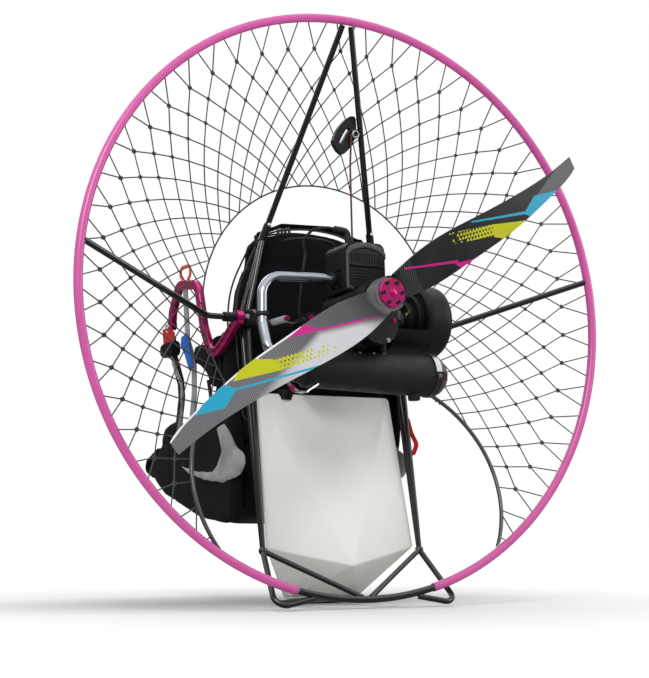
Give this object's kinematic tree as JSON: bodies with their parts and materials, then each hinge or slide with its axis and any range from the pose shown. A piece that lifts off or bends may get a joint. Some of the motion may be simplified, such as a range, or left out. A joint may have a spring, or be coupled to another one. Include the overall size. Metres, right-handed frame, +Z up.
{
  "type": "paramotor",
  "caption": "Back-pack power unit of a powered paraglider, with guard hoop and net, engine, propeller, fuel tank, swan-neck hang arms and seat harness.",
  "frame": {"origin": "on the floor, at the middle of the object's box", "axes": "+X to the right seen from behind, +Y forward to the pilot's side, +Z up; the machine leans forward 3.8 degrees as it parks"},
  "size_m": [1.45, 0.9304, 1.4562],
  "materials": {
    "pink_tube": "satin orchid-pink powder coat",
    "black_tube": "semi-gloss black powder coat",
    "gloss_spar": "glossy black tube",
    "net_rod": "dark grey coated rod",
    "net_cord": "dark grey braided cord",
    "tank_plastic": "translucent pale blow-moulded plastic",
    "black_plastic": "moulded black plastic",
    "dark_casting": "dark cast alloy",
    "black_casting": "black anodised block",
    "grey_casting": "grey cast alloy",
    "silver_metal": "machined silver metal",
    "black_heat_paint": "matt black heat paint",
    "carbon": "dark carbon laminate",
    "chrome_pipe": "polished pipe",
    "rubber_mount": "black rubber",
    "carbon_blade": "carbon blade, one silver-grey and one black, with plain colour bars",
    "magenta_anodised": "magenta anodised, bright",
    "black_fabric": "black woven nylon",
    "webbing": "black webbing",
    "starter_rope": "brown starter rope"
  },
  "bodies": {
    "root": {"airbox": "black_plastic", "arm_pivot_left": "black_casting", "arm_pivot_right": "black_casting", "base_arc": "black_tube", "carburettor": "grey_casting", "cooling_shroud": "black_plastic", "crankcase": "dark_casting", "cross_tube_lower": "black_tube", "cross_tube_upper": "black_tube", "cylinder": "dark_casting", "engine_plate": "dark_casting", "engine_standoffs": "silver_metal", "exhaust_header": "chrome_pipe", "foot_left": "black_tube", "foot_right": "black_tube", "fuel_tank": "tank_plastic", "gear_casing": "dark_casting", "hang_strap_left": "webbing", "hang_strap_right": "webbing", "harness_back": "black_fabric", "harness_seat": "black_fabric", "hoop_lower_left": "pink_tube", "hoop_lower_right": "pink_tube", "hoop_upper_left": "pink_tube", "hoop_upper_right": "pink_tube", "ignition_coil": "black_plastic", "ignition_lead": "rubber_mount", "muffler": "black_heat_paint", "muffler_end_cap": "carbon", "muffler_posts": "rubber_mount", "net_cords_front": "net_cord", "net_cords_rear": "net_cord", "net_ring": "net_cord", "net_rod_left": "net_rod", "net_rod_right": "net_rod", "plug_boot": "rubber_mount", "recoil_starter": "black_plastic", "side_frame_left": "black_tube", "side_frame_right": "black_tube", "side_spar_left": "gloss_spar", "side_spar_right": "gloss_spar", "skid_bar": "black_tube", "skid_rail_left": "black_tube", "skid_rail_right": "black_tube", "starter_cord": "starter_rope", "starter_handle": "black_plastic", "starter_pulley": "black_plastic", "tank_cap": "black_plastic", "top_spar_left": "gloss_spar", "top_spar_right": "gloss_spar", "v_tube_left": "black_tube", "v_tube_right": "black_tube"},
    "propeller_unit": {"propeller": "carbon_blade", "propeller_plate": "magenta_anodised", "drive_flange": "silver_metal"},
    "arm_left_swing": {"arm_left": "magenta_anodised"},
    "arm_right_swing": {"arm_right": "magenta_anodised"}
  },
  "joints": [
    {"name": "propeller_spin", "type": "hinge", "parent": "root", "child": "propeller_unit", "pos_m": [0, -0.42482, 0.73339], "axis": [0, 0.9978, -0.0663], "continuous": true},
    {"name": "arm_left_pivot", "type": "hinge", "parent": "root", "child": "arm_left_swing", "pos_m": [-0.245, -0.13266, 0.69595], "axis": [1, 0, 0], "range_deg": [0, 35]},
    {"name": "arm_right_pivot", "type": "hinge", "parent": "root", "child": "arm_right_swing", "pos_m": [0.245, -0.13266, 0.69595], "axis": [1, 0, 0], "range_deg": [0, 35]}
  ]
}
